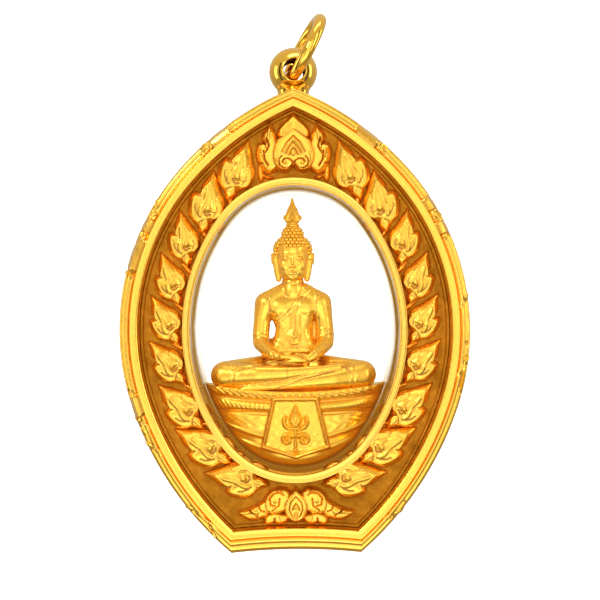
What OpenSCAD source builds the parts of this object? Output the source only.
// Amulet pendant: a seated figure in a clear capsule, in a pointed gold case with a border of flames.
// Millimetres, +Z up, the front faces -Y. The origin is where a chain sits, inside the top of the jump ring.

/* [Jump ring] */
// Radius of the ring's centre line
ring_r = 3.75; // [3.7:0.01:3.8]
// Radius of the ring's wire
wire_r = 0.7; // [0.6:0.01:0.71]
// Lean of the ring to the wearer's left, from upright
ring_lean = 27; // [0:1:60]
// Turn of the ring about its own long axis
ring_turn = 10; // [6:1:10]
// How far the wire dips below the middle of the ball
wire_dip = 0.9; // [0.86:0.01:0.92]

/* [Ball bail] */
// Outside radius of the ball
ball_r = 2.72; // [2.7:0.01:2.76]
// Wall of the hollow ball
ball_wall = 0.3; // [0.25:0.01:0.31]
// Radius of the two holes in the ball
ball_hole_r = 1.22; // [1.21:0.01:1.3]
// Countersink of each hole
hole_flare = 0.1; // [0.09:0.01:0.15]
// Turn of the ball on its collar
ball_turn = 4; // [2:1:4]
// Radius of the collar that the ball is soldered on
collar_r = 1.75; // [1.5:0.05:1.9]

/* [Case] */
// Depth of the case, from front lip to back lip
case_depth = 11; // [10.6:0.1:12]
// Half of the case's width
case_half_w = 19.45; // [19.2:0.05:20]
// Height of the widest place, from the ball's centre
wide_z = -29.15; // [-29.4:0.05:-28.9]
// Radius of the side's middle arc
mid_arc_r = 27; // [26.5:0.1:27.5]
// Radius of the side's upper arc
upper_arc_r = 33.2; // [33:0.1:33.6]
// Radius of the side's lower arc
lower_arc_r = 36.4; // [36:0.1:36.8]
// Height of the bottom edge at its middle, from the ball's centre
bottom_z = -53.45; // [-53.8:0.05:-53]
// Radius of the hollowed bottom edge
bottom_arc_r = 66; // [60:1:80]
// How much wider the moulding is along the bottom
bottom_extra = 0.42; // [0.2:0.02:0.5]
// Width of the flat lip
lip_w = 0.87; // [0.8:0.01:0.95]

/* [Window] */
// Half of the bezel's outside width
bezel_half_w = 12.43; // [12.2:0.01:12.6]
// Half of the bezel's outside height
bezel_half_h = 16.83; // [16.6:0.01:17]
// Radius of the bezel's top and bottom arcs
bezel_end_r = 10.2; // [10:0.1:10.4]
// Width of the bezel's flat face
bezel_w = 0.83; // [0.8:0.01:0.9]
// Height of the window's middle, from the ball's centre
window_z = -29.17; // [-29.4:0.01:-29]
// Wall of the capsule's side
capsule_wall = 0.4; // [0.35:0.01:0.5]
// Thickness of the capsule's front and back
capsule_face = 0.6; // [0.5:0.05:0.7]

/* [Relief] */
// Depth of the ground below the lip
ground_depth = 1.3; // [1.2:0.05:1.4]
// Thickness of the plates
plate_t = 0.8; // [0.6:0.05:0.8]
// Height of the flames over the ground
flame_h = 1; // [0.6:0.05:1.1]

/* [Figure] */
// Height of the figure's seat, from the ball's centre
seat_z = -35.55; // [-35.75:0.05:-35.35]
// How far the figure sits beside the pedestal's middle
figure_x = -0.2; // [-0.3:0.05:0.3]
// Half of the pedestal's depth
pedestal_half_d = 4.3; // [4:0.05:4.35]

/* [Hidden] */

gap = 0.05;
gold = "#f5c542";
satin_gold = "#e0a92e";

// Distance from the ball's centre to the chain's seat, along the ring's lean
hang = 2 * ring_r - wire_dip - wire_r;

// Arcs of the case's right side, from the top: the angle at which each meets the next
upper_join = 40;
lower_join = -18.4;
mid_arc_c = [case_half_w - mid_arc_r, wide_z];
upper_arc_c = mid_arc_c - (upper_arc_r - mid_arc_r) * [cos(upper_join), sin(upper_join)];
lower_arc_c = mid_arc_c - (lower_arc_r - mid_arc_r) * [cos(lower_join), sin(lower_join)];
bottom_arc_c = [0, bottom_z - bottom_arc_r];
upper_steps = 9;
mid_steps = 8;
lower_steps = 5;
bottom_steps = 6;

// Profile of the rim: how far each line lies inside the outline, and its depth behind the lip
lip_out = 1.22;
lip_in = lip_out + lip_w;
reed_1 = [0.88, 0.72, 0.27];
reed_2 = [0.42, 1.5, 0.42];
band_in = 0.5;
wall_in = 1.75;
shelf_root = lip_in + 0.21;
shelf_edge = lip_in + 1;
shelf_depth = ground_depth + plate_t + gap;
shelf_t = 0.7;

window_c = [0, window_z];
bezel_depth = 0.15;
capsule_depth = 0.35;
flange_w = 0.35;
capsule_in = bezel_w + gap + capsule_wall;

// Where a line of the rim that lies s inside the outline meets the middle line, as an angle of its arc
function apex_angle(s) = acos(-upper_arc_c[0] / (upper_arc_r - s));

// Along the bottom the same line lies further in
function bottom_inset(s) = s + bottom_extra * min(1, s / lip_out);

// Right bottom corner of that line, where the side's lower arc meets the bottom arc
function corner(s) =
    let (r_side = lower_arc_r - s, r_low = bottom_arc_r + bottom_inset(s),
         apart = bottom_arc_c - lower_arc_c, d = norm(apart),
         along = (d * d + r_side * r_side - r_low * r_low) / (2 * d),
         up = sqrt(r_side * r_side - along * along))
    lower_arc_c + along * apart / d + up * [-apart[1], apart[0]] / d;

function corner_angle(s) = let (v = corner(s) - lower_arc_c) atan2(v[1], v[0]);

function arc(c, r, from, to, steps, first = 0) =
    [for (i = [first : steps]) let (a = from + (to - from) * i / steps) c + r * [cos(a), sin(a)]];

// Right half of the line, from the point at the top to the middle of the bottom
function half_outline(s) =
    let (v = corner(s) - bottom_arc_c, low = atan2(v[1], v[0]))
    concat(arc(upper_arc_c, upper_arc_r - s, apex_angle(s), upper_join, upper_steps),
           arc(mid_arc_c, mid_arc_r - s, upper_join, lower_join, mid_steps, 1),
           arc(lower_arc_c, lower_arc_r - s, lower_join, corner_angle(s), lower_steps, 1),
           arc(bottom_arc_c, bottom_arc_r + bottom_inset(s), low, 90, bottom_steps / 2, 1));

// Whole line, closed, without its two middle points twice
function outline(s) =
    let (half = half_outline(s), last = len(half) - 1)
    concat(half, [for (i = [last - 1 : -1 : 1]) [-half[i][0], half[i][1]]]);

// Oval of four arcs, drawn in by s
function oval(s) =
    let (a = bezel_half_w, b = bezel_half_h, r = bezel_end_r,
         side_r = (a * a + (b - r) * (b - r) - r * r) / (2 * (a - r)),
         join = atan2(b - r, side_r - a),
         right = arc([a - side_r, 0], side_r - s, -join, join, 12),
         top = arc([0, b - r], r - s, join, 180 - join, 16, 1),
         half = concat(right, top),
         last = len(half) - 1)
    concat(half, [for (i = [1 : last - 1]) -half[i]]);

function bead(reed, from, to, steps) =
    [for (i = [0 : steps]) let (a = from + (to - from) * i / steps)
        [reed[0] - reed[2] * sin(a), reed[1] - reed[2] * cos(a)]];

function front_profile() =
    concat([[wall_in, shelf_depth + shelf_t + 0.4], [shelf_edge, shelf_depth + shelf_t],
            [shelf_edge, shelf_depth], [shelf_root, shelf_depth], [lip_in, 0], [lip_out, 0]],
           bead(reed_1, -75, 110, 4), bead(reed_2, -20, 130, 4), [[band_in, 2.2]]);

// Moves what is drawn flat to a depth behind the lip: its X is X, its Y is Z, and it rises to the front
module at_depth(d) {
    translate([0, d - case_depth / 2, 0]) rotate([90, 0, 0]) children();
}

module mirrored_x() {
    children();
    mirror([1, 0, 0]) children();
}

module mirrored_y() {
    mirror([0, 1, 0]) children();
}

// Puts what is measured from the ball's centre in its place below the chain's seat
module hung() {
    translate([-hang * sin(ring_lean), 0, -hang * cos(ring_lean)]) children();
}

module jump_ring() {
    color(gold) hung() rotate([0, ring_lean, 0]) translate([0, 0, ring_r - wire_dip])
        rotate([0, 0, ring_turn]) rotate([0, 90, 0])
            rotate_extrude($fn = 72) translate([ring_r, 0]) circle(wire_r, $fn = 32);
}

// Rim: one profile carried round the outline, mitred at the point and at the bottom corners
module rim() {
    front = front_profile();
    last = len(front) - 1;
    profile = concat(front, [for (i = [last : -1 : 0]) [front[i][0], case_depth - front[i][1]]]);
    lines = [for (p = profile) outline(p[0])];
    rows = len(profile);
    stations = len(lines[0]);
    points = [for (j = [0 : rows - 1], k = [0 : stations - 1])
        [lines[j][k][0], profile[j][1] - case_depth / 2, lines[j][k][1]]];
    faces = [for (j = [0 : rows - 1], k = [0 : stations - 1])
        let (a = j * stations + k, b = j * stations + (k + 1) % stations,
             c = ((j + 1) % rows) * stations + (k + 1) % stations, d = ((j + 1) % rows) * stations + k)
        each [[a, c, b], [a, d, c]]];
    polyhedron(points, faces);
}

// The collar starts inside the ball's wall and ends inside the rim's point, measured down from the ball's centre
collar_top = 2;
collar_h = 1.75;

// Hollow ball, turned a little on the collar that joins it to the rim's point
module ball_bail() {
    rotate([0, 0, ball_turn]) rotate([90, 0, 0]) difference() {
        union() {
            sphere(ball_r, $fn = 64);
            rotate([90, 0, 0]) translate([0, 0, collar_top])
                cylinder(r = collar_r, h = collar_h, $fn = 40);
        }
        sphere(ball_r - ball_wall, $fn = 64);
        cylinder(r = ball_hole_r, h = 3 * ball_r, center = true, $fn = 48);
        mouth = sqrt(ball_r * ball_r - ball_hole_r * ball_hole_r);
        for (side = [0, 180]) rotate([side, 0, 0]) translate([0, 0, mouth - hole_flare])
            cylinder(r1 = ball_hole_r, r2 = ball_hole_r + 2 * hole_flare, h = 2 * hole_flare, $fn = 48);
    }
}

module case() {
    color(gold) hung() {
        rim();
        ball_bail();
    }
}

module plate(edge) {
    linear_extrude(plate_t) difference() {
        polygon(outline(edge));
        translate(window_c) polygon(oval(bezel_w - flange_w - gap));
    }
}

// Side flame, lying along +X from its base, with its barb on the +Y side; sizes are shares of its length
FLAME = [[1, 0], [0.84, 0.06], [0.7, 0.13], [0.6, 0.11], [0.6, 0.21], [0.49, 0.255], [0.235, 0.235],
         [0.09, 0.085], [0.13, -0.06], [0.21, -0.13], [0.36, -0.245], [0.52, -0.24], [0.69, -0.16]];

module flame(length, turned = false) {
    middle = [0.42, 0];
    scale([length, turned ? -length : length, 1]) {
        translate(middle) linear_extrude(flame_h, scale = 0.76)
            translate(-middle) polygon(FLAME);
        translate([0.3, -0.05, flame_h - 0.05]) scale([0.09, 0.09, 0.3]) sphere(1, $fn = 8);
        hull() {
            translate([0.1, -0.02, 0]) scale([0.07, 0.07, flame_h * 0.7]) sphere(1, $fn = 6);
            translate([-0.06, -0.02, 0]) scale([0.03, 0.03, flame_h * 0.4]) sphere(1, $fn = 6);
        }
    }
}

// Right side's flames from the top: angle of the base round the oval, direction of the tip, length
FLAMES = [[55.8, 109.5, 7.2], [38.3, 101, 7.2], [24.2, 83, 6.4], [9.6, 71, 6.3], [-4.5, 61, 6.3],
          [-19.1, 50, 6.3], [-37.3, 44, 7], [-55.6, 31, 7.3], [-75.4, 10.5, 7.2]];
base_oval = 1.045;

module side_flames() {
    for (f = FLAMES)
        translate([bezel_half_w * base_oval * cos(f[0]), window_z + bezel_half_h * base_oval * sin(f[0])])
            rotate(f[1]) flame(f[2], turned = true);
}

// Leaf with a round foot and a pointed tip, standing along +Y
function leaf_side(width, height, side) =
    [for (i = [0 : 5]) let (t = side > 0 ? i / 6 : 1 - i / 6)
        [side * width / 2 * sin(180 * pow(t, 0.6)) * (1 - t * 0.35), height * t]];

module leaf(width, height, rise) {
    middle = [0, height * 0.4];
    translate(middle) linear_extrude(rise, scale = 0.74)
        translate(-middle) polygon(concat(leaf_side(width, height, 1), leaf_side(width, height, -1)));
}

top_leaf_z = -11.75;
top_leaf_w = 5;
top_leaf_h = 5.3;

module top_flame() {
    translate([0, top_leaf_z]) {
        translate([0, 0.8]) leaf(top_leaf_w * 0.9, top_leaf_h + 0.7, flame_h * 0.8);
        leaf(top_leaf_w, top_leaf_h - 0.2, flame_h);
        leaf(top_leaf_w * 0.5, top_leaf_h * 0.55, flame_h + 0.3);
        mirrored_x() translate([1.7, 0.3]) rotate(-18) leaf(3, 5.2, flame_h * 0.85);
        mirrored_x() translate([2.4, 0.1]) rotate(-42) leaf(2, 3.2, flame_h * 0.7);
    }
}

lotus_z = -50.15;

module lotus() {
    translate([0, lotus_z]) {
        leaf(3.4, 3.8, flame_h);
        leaf(1.8, 2.4, flame_h + 0.25);
        mirrored_x() translate([0.8, 1]) rotate(-98) leaf(2.4, 3.4, flame_h * 0.7);
        mirrored_x() translate([1.1, 2.8]) rotate(-109) leaf(2.6, 5.7, flame_h * 0.85);
    }
}

module flame_border() {
    color(satin_gold) hung() {
        at_depth(ground_depth + plate_t) plate(shelf_root + gap);
        at_depth(ground_depth) translate([0, 0, -gap]) {
            linear_extrude(gap + 0.15) difference() {
                polygon(outline(shelf_root + gap));
                polygon(outline(shelf_root + 0.35));
            }
            difference() {
                union() {
                    mirrored_x() side_flames();
                    top_flame();
                    lotus();
                }
                // The bezel stands here
                translate([0, window_z, -1]) linear_extrude(flame_h + 2) polygon(oval(-gap));
            }
        }
    }
}

module back_plate() {
    color(gold) hung() mirrored_y() at_depth(ground_depth + plate_t) plate(shelf_root + gap);
}

module bezel() {
    at_depth(ground_depth - gap) translate(window_c) linear_extrude(ground_depth - gap - bezel_depth)
        difference() {
            polygon(oval(0));
            polygon(oval(bezel_w));
        }
}

module front_bezel() {
    color(gold) hung() bezel();
}

module back_bezel() {
    color(gold) hung() mirrored_y() bezel();
}

// Half of the capsule: a tray whose skirt ends in the middle of the case
module tray() {
    height = case_depth / 2 - gap / 2 - capsule_depth;
    translate(window_c) difference() {
        union() {
            linear_extrude(height) polygon(oval(bezel_w + gap));
            linear_extrude(height + capsule_depth - ground_depth) polygon(oval(bezel_w - flange_w));
        }
        translate([0, 0, -1]) linear_extrude(height + 1 - capsule_face) polygon(oval(capsule_in));
    }
}

module crystal_front() {
    color("lightcyan", 0.4) hung() at_depth(case_depth / 2 - gap / 2) tray();
}

module crystal_back() {
    color("lightcyan", 0.4) hung() mirrored_y() at_depth(case_depth / 2 - gap / 2) tray();
}

// Rounded form: its middle and its three half sizes
module blob(at, size) {
    translate(at) scale(size) sphere(1, $fn = 14);
}

// Limb from one round end to another
module limb(from, r_from, to, r_to) {
    hull() {
        translate(from) sphere(r_from, $fn = 12);
        translate(to) sphere(r_to, $fn = 12);
    }
}

// The figure is measured up from its seat
chin_z = 11.8;
skull_h = 5.2;
shoulder = [3.3, 0.6, 9.7];
elbow = [3.85, 0.3, 5.1];
wrist = [1.7, -2.2, 3.2];
knee = [7.7, -2, 1.35];

function sided(p, side) = [side * p[0], p[1], p[2]];

module head() {
    face_z = chin_z + skull_h * 0.5;
    hull() {
        blob([0, 0.35, face_z + 0.6], [1.95, 2, 1.7]);
        blob([0, -0.2, chin_z + 0.95], [1.35, 1.45, 0.95]);
    }
    blob([0, 0.55, face_z + 1.1], [2.26, 2.2, 1.75]);
    blob([0, 0.5, face_z + 2.85], [1.25, 1.25, 1.05]);
    hull() {
        translate([0, 0.4, 18.1]) cylinder(r1 = 0.7, r2 = 0.93, h = 0.9, $fn = 12);
        translate([0, 0.4, 21.2]) sphere(0.12, $fn = 8);
    }
    limb([0, -1.6, face_z], 0.16, [0, -1.82, chin_z + skull_h * 0.3], 0.26);
    blob([0, -1.5, chin_z + skull_h * 0.18], [0.6, 0.25, 0.2]);
    for (side = [-1, 1]) {
        blob([side * 0.85, -1.35, face_z], [0.5, 0.25, 0.2]);
        limb([side * 2.15, 0.5, face_z + 0.4], 0.34, [side * 1.95, 0.4, chin_z - 0.4], 0.28);
    }
    limb([0, 0.6, chin_z + 1], 1.1, [0, 0.7, 11], 1.2);
}

module upper_body() {
    hull() {
        blob([0, 0.7, 10.6], [1.9, 1, 0.8]);
        for (side = [-1, 1]) blob(sided(shoulder, side), [0.9, 1, 0.95]);
        blob([0, 0.5, 8.4], [3, 1.5, 1.2]);
    }
    hull() {
        blob([0, 0.5, 8.4], [2.9, 1.5, 1.2]);
        blob([0, 0.6, 6.3], [1.95, 1.3, 1]);
    }
    hull() {
        blob([0, 0.6, 6.3], [1.9, 1.3, 1]);
        blob([0, 0.6, 3.2], [3.2, 2.2, 1.6]);
    }
    for (side = [-1, 1]) {
        limb(sided(shoulder, side), 1, sided(elbow, side), 0.85);
        limb(sided(elbow, side), 0.85, sided(wrist, side), 0.5);
    }
    blob([-0.5, -2.7, 2.8], [2.1, 1, 0.42]);
    blob([0.5, -2.7, 3.3], [2.1, 0.95, 0.4]);
    robe();
}

// Robe over one shoulder: the fold down the chest, and the cloth between body and arm
module robe() {
    hull() {
        blob([1.9, -0.4, 10], [0.75, 0.6, 0.5]);
        blob([0.9, -0.9, 8.4], [0.55, 0.4, 0.5]);
    }
    hull() {
        blob([0.5, -0.95, 8.4], [0.6, 0.35, 0.5]);
        blob([0.4, -1.1, 4.8], [0.55, 0.4, 0.6]);
    }
    hull() {
        blob([2.9, 0.9, 7.6], [0.7, 0.6, 0.6]);
        blob([3, 0.6, 3], [0.9, 0.7, 0.8]);
        blob([2, 0.9, 4], [0.7, 0.7, 0.8]);
    }
}

module crossed_legs() {
    for (side = [-1, 1])
        limb([side * 2.2, 1, 1.9], 1.75, sided(knee, side), 1.6);
    limb(sided(knee, -1), 1.6, [3, -3.1, 1.85], 0.85);
    limb(sided(knee, 1), 1.6, [-3, -3.3, 0.45], 0.75);
    limb([3, -3, 2], 0.75, [5.2, -2.6, 2.4], 0.5);
    limb([-3, -3.3, 0.45], 0.6, [-6, -3, 0.3], 0.4);
}

// Slab that sags to its middle, its top at the given height there; it rises towards its ends by that radius
module sagging_slab(top, thick, sag_r) {
    spread = asin(min(0.9, 11 / sag_r));
    centre = [0, top + sag_r];
    translate([0, case_depth / 2, 0]) rotate([90, 0, 0]) linear_extrude(case_depth)
        polygon(concat(arc(centre, sag_r, 270 - spread, 270 + spread, 12),
                       arc(centre, sag_r + thick, 270 + spread, 270 - spread, 12)));
}

// Plan of the boat-shaped pedestal: an oval with its front and back pressed flat
plan_power = 0.65;
plan_steps = 32;

function boat_plan(half_w, half_d) =
    [for (i = [0 : plan_steps - 1]) let (a = 360 * i / plan_steps, s = sin(a))
        [half_w * cos(a), half_d * sign(s) * pow(abs(s), plan_power)]];

// Upright block of that plan under a height
module boat_block(half_w, half_d, height) {
    translate([0, 0, -height]) linear_extrude(height + 1) polygon(boat_plan(half_w, half_d));
}

// Tiers of the pedestal from the top: height of the middle, thickness, radius of the sag, setback of the edge
TIERS = [[-0.75, 0.7, 60, 0], [-1.75, 0.85, 60, 0.05], [-5.7, 0.3, 20, 0.55], [-6.8, 0.3, 20, 0.8]];
pedestal_h = seat_z - window_z + bezel_half_h - capsule_in;

module tier_plan(half_w, half_d, z) {
    translate([0, 0, z]) linear_extrude(0.5) polygon(boat_plan(half_w, half_d));
}

module pedestal() {
    intersection() {
        union() {
            for (tier = TIERS) intersection() {
                sagging_slab(tier[0], tier[1], tier[2]);
                boat_block(10.8, pedestal_half_d - tier[3], pedestal_h);
            }
            hull() {
                tier_plan(10.6, pedestal_half_d - 0.35, -0.6);
                tier_plan(10.2, pedestal_half_d - 0.4, -3.5);
                tier_plan(4.6, 2.6, -pedestal_h);
            }
        }
        translate([0, case_depth / 2, window_z - seat_z]) rotate([90, 0, 0]) linear_extrude(case_depth)
            polygon(oval(capsule_in + gap));
        sagging_slab(-0.05, 12, 60);
    }
}

// Cloth that hangs down the front of the pedestal, wider towards its pointed foot
module apron() {
    thick = 0.5;
    top_w = 2.85;
    low_w = 3.95;
    hull() {
        translate([-top_w, -pedestal_half_d - 0.12, -0.9]) cube([2 * top_w, thick, 0.4]);
        translate([-low_w, -pedestal_half_d + 0.1, -6.75]) cube([2 * low_w, thick, 0.1]);
        translate([-low_w, -2.4, -6.4]) cube([2 * low_w, thick, 0.1]);
        translate([-0.1, -pedestal_half_d + 0.7, -8]) cube([0.2, thick, 0.1]);
    }
    limb([0, -pedestal_half_d - 0.05, -2.2], 0.15, [0, -pedestal_half_d + 0.1, -5.6], 0.3);
}

module statuette() {
    color(satin_gold) hung() translate([0, 0, seat_z]) {
        translate([figure_x, 0, 0]) {
            head();
            upper_body();
            crossed_legs();
        }
        pedestal();
        apron();
    }
}

jump_ring();
case();
flame_border();
back_plate();
front_bezel();
back_bezel();
crystal_front();
crystal_back();
statuette();
